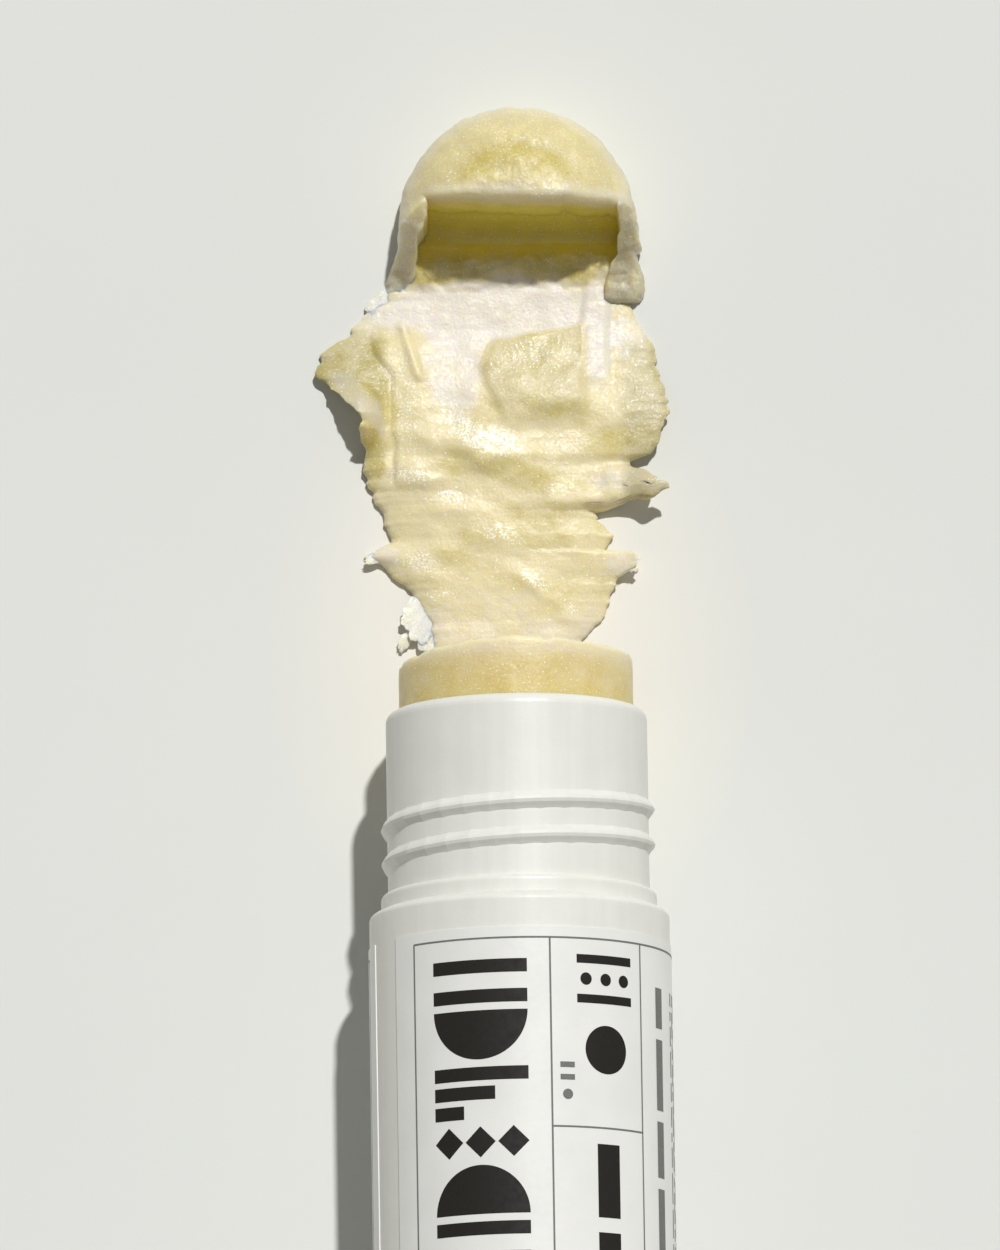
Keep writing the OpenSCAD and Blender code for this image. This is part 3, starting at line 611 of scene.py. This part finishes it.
# A dune: height * exp(-(p / half length)^2 - (q / slope)^2), p along its crest and q ahead of it.
def dunes(x, a):
    x, a = adrift(x, a, 201)
    total = 0 * (x + a)
    for mx, ma, reach, turned, height, ahead, behind in smear["dunes"]:
        c, w = math.cos(math.radians(turned)), math.sin(math.radians(turned))
        p, q = (x - mx) * c + (a - ma) * w, (a - ma) * c - (x - mx) * w
        total = total + height * np.exp(-(p / reach) ** 2 - (q / np.where(q > 0, ahead, behind)) ** 2)
    return total


# Painted places: the amount inside an ellipse, falling to 0 with a smooth step at its border.
def painted(x, a, places, soft=0.6, seed=211):
    x, a = adrift(x, a, seed)
    total = 0 * (x + a)
    for mx, ma, halfX, halfA, turned, amount in places:
        c, w = math.cos(math.radians(turned)), math.sin(math.radians(turned))
        p, q = (x - mx) * c + (a - ma) * w, (a - ma) * c - (x - mx) * w
        total = total + amount * ease((1 + soft / 2 - np.hypot(p / halfX, q / halfA)) / soft)
    return total


# the layer that the spatula left in the middle: its left edge bulges and its far edge slants
def midLayer(x, a):
    leftEdge = -2.3 + 0.10 * (a - 25.4) ** 2 + 0.35 * lattice(a, 0 * a, 1.3, 43)
    farEdge = 28.1 + 0.17 * (x + 2) + 0.35 * lattice(x, 0 * x, 1.5, 44)
    return (ease((x - leftEdge) / 0.5) * ease((farEdge - a) / 0.5) * ease((6.4 - x) / 0.9)
            * ease((a - 20.5) / 3))


# how the spatula left the balm: dunes, soft lumps, layers that end in steps, and two thin ridges
def filmRelief(a, x):
    swells = 0.09 * grain(x + 0.5 * a, a * 1.9 - 0.25 * x, 5.2, 11, 2) * band(a, 3.5, 26, 4)
    lumps = 0.05 * grain(x, a * 1.2, 1.6, 31, 3)
    seam = -9.6 - 1.6 * ease((a - 25) / 3) + 0.2 * lattice(a, 0 * a, 1.4, 41)
    layer = 0.32 * ease((x - seam) / 0.35) * band(a, 16.5, 28.5, 1.5) * ease((-4.5 - x) / 3)
    bend = 0.3 * np.sin(a * 0.6) + 0.25 * lattice(a, 0 * a, 1.5, 49)
    ridge = 0.26 * band(x, 6.0 + bend, 7.9 + 0.6 * bend, 0.7) * band(a, 25.0, 34.0, 5)
    streak = 0.4 * np.exp(-((x + 8.1 - (27.5 - a) * 0.28) / 0.3) ** 2) * band(a, 25, 29.6, 0.8)
    crest = 0.17 * grain(x * 1.2, a, 1.1, 47, 3) * band(a, 32.4, 35.0, 0.7)
    return dunes(x, a) + swells + lumps + layer + 0.34 * midLayer(x, a) + ridge + streak + crest


# white where the spatula scraped, clear and deeper coloured where it is smooth, dim at thin edges; painted
# shade where the cut's shadow lies, painted light in the shaded cut and painted highlights on the dunes
def filmPaint(a, u, x, ahead):
    s = smear
    middle = midLayer(x, ahead)
    frost = (painted(x, ahead, s["frosts"]) * (1 - 0.95 * middle)
             + 0.50 * (1 - ease((a - 3) / 7)) + 0.18 * grain(x, a * 2, 3.0, 81, 3)
             + 0.15 * band(a, 32.6, 34.6, 0.6) * (lattice(x, a, 0.7, 83) > 0.25))
    # the ridge before the cut and the cut's floor, which lie in the shadow of its lip, are painted deeper
    # coloured: painted shade
    clear = (painted(x, ahead, s["clears"], 0.9) + 0.06 + 0.36 * grain(x, a * 2, 4.0, 85, 3)
             + 0.7 * band(a, 32.7, 35.6, 0.8))
    # painted shade: a little on the ridge and more on the film by the cut's wall, where the lip's shadow
    # lies; besides that, darker thin edges, darker flanks and a darker middle layer, and lighter on part
    # of the left flap
    dim = (0.12 * ease((0.07 - (1 - np.abs(u))) / 0.07) * ease((a - 3) / 3)
           + 0.62 * ease((x - 8.0) / 2) * band(a, 13, 28, 2)
           + 0.62 * ease((-x - 9.4) / 1.2) * band(a, 17, 29, 2)
           + 0.05 * band(a, 32.9, 35.0, 0.8) + 0.45 * ease((a - 35.4) / 1.2) + 0.36 * middle
           - 0.30 * band(x, -12.5, -9.5, 1) * band(a, 16, 23, 2))
    # painted light of the shaded cut, passing through the balm, reaches onto the film, but not to its
    # sides
    paintedCutGlow = 0.95 * ease((a - 33.8 - 0.3 * lattice(x, 0 * x, 1.1, 87)) / 2.1)
    paintedCutGlow = paintedCutGlow * ease((9.0 - np.abs(x - 0.8)) / 0.8)
    # painted highlights, and a glossier skin, on the sides of the dunes that face the light
    return {"frost": frost, "clear": clear, "dim": dim, "paintedCutGlow": paintedCutGlow,
            "spark": painted(x, ahead, s["sparks"], 1.1, 221)}


# The film: for each row ahead, a closed loop of its top from left to right and its underside
# back. Top = underside + edge + (depth - edge) * sqrt(1 - u*u) + relief, u from -1 to 1 across.
def makeFilm():
    s = smear
    a = np.linspace(s["from"], s["to"], s["rows"])[:, None]
    u = np.sin(np.linspace(-math.pi / 2, math.pi / 2, s["columns"]))[None, :]
    low = along(a, s["left"]) + 0.22 * grain(a * 1.5, 0 * a, 1.0, 51, 5)
    high = along(a, s["right"]) + 0.22 * grain(a * 1.5, 0 * a + 9, 1.0, 55, 5)
    x = low + (high - low) * (u + 1) / 2
    # rows sway a little, most at the torn lower edge on the right
    torn = 0.22 * grain(x * 1.5, 0 * x, 1.3, 63, 3) * band(a, 13.8, 16.4, 1.6) * ease((x - 5.5) / 1.5)
    ahead = a + 0.05 * grain(x * 1.5, a, 1.0, 61, 2) * (np.abs(u) > 0.2) + torn
    under = filmUnder(ahead, x)
    # the foot of the wall follows its bend, and the crest is uneven
    bent = (along(x, slab["wall"]) - 38.0) * ease((a - 35) / 2)
    uneven = 0.22 * grain(x, 0 * x, 1.6, 65, 3) * band(a, 31, 35.5, 1.5)
    depth = along(ahead - bent + uneven, s["depth"])
    flat = 0.75 - 0.55 * ease((a - 31) / 3)
    full = s["edge"] + (depth - s["edge"]) * np.sqrt(np.maximum(0, 1 - u * u)) ** flat
    thin = 1 - 0.55 * ease(under / 1.5)
    inner = ease((1 - np.abs(u)) / 0.12)
    top = under + full * thin + filmRelief(ahead, x) * (0.1 + 0.9 * inner) * (0.4 + 0.6 * thin)
    top = np.maximum(top, under + 0.14)
    # under the stick's end it stays low, and clear of the neck
    tongue = ease((a - s["from"]) / 1.4)
    top = np.where(a < 1, np.minimum(top, 0.8 + 0.75 * tongue), top)
    loop = np.concatenate([np.stack([tubeX + x, stickEndY + ahead, top], -1),
                           np.stack([tubeX + x, stickEndY + ahead, under], -1)[:, ::-1]], 1)
    paint = {key: value + 0 * x for key, value in filmPaint(a, u, x, ahead).items()}
    paint = {key: np.concatenate([value, value[:, ::-1]], 1) for key, value in paint.items()}
    tips = [(tubeX - 0.4, stickEndY + s["from"], 0.4), (tubeX + 0.4, stickEndY + s["to"], 0.8)]
    return surface("smearFilm", loop, True, tips[0], tips[1], paint)


# flakes that hang on the film: middle across and ahead, half sizes, turn, thickness, lift, tilt
flakes = [(-7.7, 5.2, 1.4, 1.9, 0.30, 0.16, 0.7, -0.22), (-8.9, 3.7, 0.5, 0.9, -0.5, 0.16, 0.5, -0.2),
          (-7.0, 3.9, 0.9, 1.1, -0.2, 0.18, 0.5, -0.2), (-10.8, 10.7, 1.4, 0.5, 0.35, 0.2, 0.7, -0.2),
          (8.9, 10.0, 1.2, 0.5, 0.10, 0.2, 1.3, 0.2), (9.6, 9.3, 0.4, 0.35, 0.5, 0.2, 1.3, 0.1),
          (-10.4, 31.4, 1.3, 1.0, 0.7, 0.16, 0.35, -0.06)]


# A flake: a thin lens on a tilted plane, its outline half * (1 + noise), torn finer at its border.
def makeFlake(name, flake, seed):
    mx, ma, hx, ha, turned, thick, lift, tilt = flake
    rise = np.linspace(0.06, math.pi - 0.06, 30)[:, None]
    turn = np.linspace(0, 2 * math.pi, 140, endpoint=False)[None, :]
    rough = 1 + 0.28 * grain(np.cos(turn) * 2.2 + 5, np.sin(turn) * 2.2, 1.3, seed, 4)
    flat = np.sin(rise) ** 0.6
    x0, a0 = hx * np.cos(turn) * flat * rough, ha * np.sin(turn) * flat * rough
    skin = 0.05 * grain(x0, a0, 0.9, seed + 3, 3) * flat
    z = np.maximum(lift + thick / 2 * np.cos(rise) + tilt * x0 + skin, 0.03)
    c, w = math.cos(turned), math.sin(turned)
    grid = np.stack([tubeX + mx + c * x0 - w * a0, stickEndY + ma + w * x0 + c * a0, z + 0 * x0], -1)
    paint = {"frost": 0.85 + 0 * x0, "clear": 0 * x0, "dim": 0.05 + 0 * x0}
    return surface(name, grid, True, grid[0].mean(0), grid[-1].mean(0), paint)


smearPieces = [makeFilm(), makeSlab()]
for k, flake in enumerate(flakes):
    smearPieces.append(makeFlake("smearFlake%d" % (k + 1), flake, 161 + 7 * k))
for piece in smearPieces:
    finishPiece(piece, slabWax if piece.name == "smearSlab" else filmWax, "tube")
    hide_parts("balm_smear")
print("smear made")


# Plain shapes on the label. Places are the arc from the top line of the tube, to the right, and
# the distance down from the frame's upper line.
labelPrint = {
    "radius": 12.1, "lift": 0.014, "thickness": 0.010,
    "frameDown": 20.1, "frameHeight": 40.0, "lineWidth": 0.15,
    "columnLines": [-9.33, 2.39, 10.98, 19.64, 58.4], "ruleAt": 15.2,
    "wide": (-7.37, 0.53), "stroke": 1.08,
}


# A patch between two places across and two down, as a grid that can follow the label's curve.
def bar(s0, s1, d0, d1):
    across = np.linspace(s0, s1, max(2, int(abs(s1 - s0) / 0.35) + 2))[:, None]
    down = np.linspace(d0, d1, 2)[None, :]
    return np.stack([across + 0 * down, down + 0 * across], -1)


# Part of a disc in polar steps: s = middle + r * cos(turn), d = middle + r * sin(turn).
def disc(s, d, radius, start=0.0, end=360.0, inner=0.0):
    turn = np.radians(np.linspace(start, end, 49))[:, None]
    r = np.linspace(inner, radius, 9)[None, :]
    return np.stack([s + r * np.cos(turn), d + r * np.sin(turn)], -1)


# A square that stands on its corner.
def diamond(s, d, halfS, halfD):
    p, q = np.linspace(-1, 1, 7)[:, None], np.linspace(-1, 1, 7)[None, :]
    return np.stack([s + halfS * (p + q) / 2, d + halfD * (p - q) / 2], -1)


# All patches of one ink become one mesh on the label's curve: x = r sin(s / r), z = r cos(s / r).
def printPiece(name, patches, material):
    r = labelPrint["radius"]
    points, quads, count = [], [], 0
    for patch in patches:
        rows, cols = patch.shape[:2]
        index = np.arange(rows * cols).reshape(rows, cols) + count
        quads.append(gridQuads(index.T))
        points.append(patch.reshape(-1, 2))
        count += rows * cols
    flat, quads = np.concatenate(points), np.concatenate(quads)
    turn, out = flat[:, 0] / r, r + labelPrint["lift"]
    verts = np.stack([tubeX + out * np.sin(turn), rimY - labelPrint["frameDown"] - flat[:, 1],
                      axisZ + out * np.cos(turn)], -1)
    # faces that look inwards are turned round
    p, q, w = verts[quads[:, 0]], verts[quads[:, 1]], verts[quads[:, 2]]
    facing = np.cross(q - p, w - q)
    outwards = np.stack([np.sin(turn), 0 * turn, np.cos(turn)], -1)[quads[:, 0]]
    wrong = np.einsum("ij,ij->i", facing, outwards) < 0
    quads[wrong] = quads[wrong][:, ::-1]
    piece = meshPiece(name, verts, quads, np.zeros((0, 3), int), smooth=False)
    skin = piece.modifiers.new("thickness", "SOLIDIFY")
    skin.thickness = labelPrint["thickness"] * mm
    skin.offset = -1
    return finishPiece(piece, material, "tube")


def boldShapes():
    s0, s1 = labelPrint["wide"]
    middle, half, stroke = (s0 + s1) / 2, (s1 - s0) / 2, labelPrint["stroke"]
    patches, d = [], 1.7
    for kind in ("bars", "bowl", "steps", "gems", "hill", "bars", "gems", "bowl", "steps"):
        if kind == "bars":
            patches += [bar(s0, s1, d, d + stroke), bar(s0, s1, d + 2.4, d + 2.4 + stroke)]
            d += 2.4 + stroke
        elif kind == "bowl":
            patches.append(disc(middle, d, half, 0, 180))
            d += half
        elif kind == "hill":
            patches.append(disc(middle, d + half, half, 180, 360))
            d += half
        elif kind == "steps":
            for k, share in enumerate((1.0, 0.66, 0.33)):
                patches.append(bar(s0, s0 + (s1 - s0) * share, d + 1.55 * k, d + 1.55 * k + stroke))
            d += 3.1 + stroke
        else:
            patches += [diamond(s, d + 1.25, 1.25, 1.25) for s in (s0 + 1.25, middle, s1 - 1.25)]
            d += 2.5
        d += 0.6
    return patches


def smallShapes():
    patches = [bar(4.6, 9.8, 1.3, 2.0), bar(4.6, 9.8, 4.5, 5.2), disc(7.2, 8.9, 1.95)]
    patches += [disc(s, 3.25, 0.5) for s in (5.4, 7.2, 9.0)]
    patches += [bar(6.2, 8.3, 16.5, 22.4), bar(6.2, 8.3, 23.6, 27.2), bar(6.2, 8.3, 28.4, 36.5)]
    return patches


# Stand-ins for lines of small print: dashes of uneven length along one line.
def dashes(s, width, start, end, seed, shortest=0.7, longest=2.6, gap=0.45):
    chance = np.random.RandomState(seed)
    patches, d = [], start
    while d < end - shortest:
        length = min(chance.uniform(shortest, longest), end - d)
        patches.append(bar(s, s + width, d, d + length))
        d += length + gap
    return patches


def greyShapes():
    lines = labelPrint["columnLines"]
    thin, tall = labelPrint["lineWidth"], labelPrint["frameHeight"]
    patches = [bar(s - thin / 2, s + thin / 2, 0, tall) for s in lines]
    patches += [bar(lines[0], lines[-1], d - thin / 2, d + thin / 2) for d in (0, tall)]
    rule = labelPrint["ruleAt"]
    patches.append(bar(lines[1], lines[2], rule - thin / 2, rule + thin / 2))
    patches += [bar(3.1, 4.3, 10.0, 10.45), bar(3.1, 4.3, 11.0, 11.45), disc(3.7, 12.6, 0.42)]
    return patches


def finePrint():
    patches = dashes(13.2, 1.15, 3.2, 37.0, 7, 3.0, 6.5, 0.9)
    for k in range(3):
        patches += dashes(16.6 + 0.85 * k, 0.26, 3.2, 37.5, 11 + k)
    for k in range(12):
        patches += dashes(21.0 + 0.85 * k, 0.26, 2.2, 37.5 if k % 5 != 4 else 18.0, 31 + k)
    return patches


printPiece("printBold", boldShapes(), blackInk)
printPiece("printMarks", smallShapes(), blackInk)
printPiece("printLines", greyShapes(), greyInk)
printPiece("printFine", finePrint(), greyInk)
print("label printed")


studio = {
    "floor": (0.745, 0.753, 0.716), "floorSize": 6000.0, "floorSunk": 0.01,
    "blotchSize": 30.0, "blotchShade": 0.985,
    # a painted pool of warm light on the paper round the balm
    "paintedBalmLight": (0.83, 0.80, 0.725), "warmAt": (1.0, 17.0), "warmReach": (20.0, 27.0),
    "sunWay": (-0.2206, -0.567, -1.0), "sunPower": 2.93, "sunSoftness": 2.0, "skyPower": 0.20,
    "cameraAim": (0.27, 16.9, 12.2), "cameraTilt": 9.7, "cameraRoll": -0.9, "cameraAway": 2400.0,
    "lens": 863.2,
}


def makeFloor():
    half = studio["floorSize"] / 2
    side = np.linspace(-half, half, 3)
    x, y = np.meshgrid(side, side, indexing="ij")
    quads = gridQuads(np.arange(9).reshape(3, 3).T)
    verts = np.stack([x, y, 0 * x - studio["floorSunk"]], -1).reshape(-1, 3)
    floor = meshPiece("studioFloor", verts, quads, np.zeros((0, 3), int), smooth=False)
    material, tree, shader = newMaterial("studioPaper")
    faint = noise(tree, studio["blotchSize"], 2.0)
    shade = tuple(studio["blotchShade"] * c for c in studio["floor"])
    paper = ramp(tree, faint, [(0.3, shade), (0.7, studio["floor"])])
    # painted light: the paper is painted warmer where the balm throws light on it
    middle, reach = studio["warmAt"], studio["warmReach"]
    spot = node(tree, "ShaderNodeMapping", {
        "Vector": objectPlace(tree), "Location": (-middle[0] / reach[0], -middle[1] / reach[1], 0),
        "Scale": (1 / (reach[0] * mm), 1 / (reach[1] * mm), 0)}).outputs[0]
    fall = node(tree, "ShaderNodeTexGradient", {"Vector": spot}, gradient_type="SPHERICAL").outputs["Fac"]
    balmLightShare = calc(tree, "MULTIPLY", fall, calc(tree, "SUBTRACT", 2.0, fall))
    tree.links.new(blendColour(tree, balmLightShare, paper, studio["paintedBalmLight"]), shader.inputs["Base Color"])
    shader.inputs["Roughness"].default_value = 0.9
    shader.inputs["Specular IOR Level"].default_value = 0.1
    floor.data.materials.append(material)


def makeLight():
    lamp = bpy.data.lights.new("sun", "SUN")
    lamp.energy = studio["sunPower"]
    lamp.angle = math.radians(studio["sunSoftness"])
    sun = bpy.data.objects.new("sun", lamp)
    sun.rotation_euler = Vector(studio["sunWay"]).to_track_quat("-Z", "Y").to_euler()
    bpy.context.scene.collection.objects.link(sun)
    world = bpy.data.worlds.new("studio")
    world.use_nodes = True
    bpy.context.scene.world = world
    tree = world.node_tree
    sky = tree.nodes["Background"]
    sky.inputs["Color"].default_value = (1, 1, 0.99, 1)
    sky.inputs["Strength"].default_value = studio["skyPower"]
    seen = node(tree, "ShaderNodeBackground", {"Color": (*studio["floor"], 1), "Strength": 1.0})
    path = node(tree, "ShaderNodeLightPath")
    direct = calc(tree, "MAXIMUM", path.outputs["Is Camera Ray"], path.outputs["Is Glossy Ray"])
    direct = calc(tree, "MAXIMUM", direct, path.outputs["Is Transmission Ray"])
    mixed = node(tree, "ShaderNodeMixShader", {0: direct, 1: sky.outputs[0], 2: seen.outputs[0]})
    tree.links.new(mixed.outputs[0], tree.nodes["World Output"].inputs["Surface"])


def makeCamera():
    tilt = math.radians(studio["cameraTilt"])
    aim = Vector(studio["cameraAim"]) * mm
    away = Vector((0, -math.sin(tilt), math.cos(tilt)))
    camera = bpy.data.objects.new("camera", bpy.data.cameras.new("camera"))
    camera.data.sensor_width = 36
    camera.data.lens = studio["lens"]
    camera.data.clip_start, camera.data.clip_end = 0.05, 60
    turn = (-away).to_track_quat("-Z", "Y").to_matrix().to_4x4()
    roll = Matrix.Rotation(math.radians(studio["cameraRoll"]), 4, "Z")
    camera.matrix_world = Matrix.Translation(aim + away * studio["cameraAway"] * mm) @ turn @ roll
    bpy.context.scene.collection.objects.link(camera)
    bpy.context.scene.camera = camera


makeFloor()
makeLight()
makeCamera()
bpy.context.scene.view_settings.view_transform = "Standard"
print("studio set")
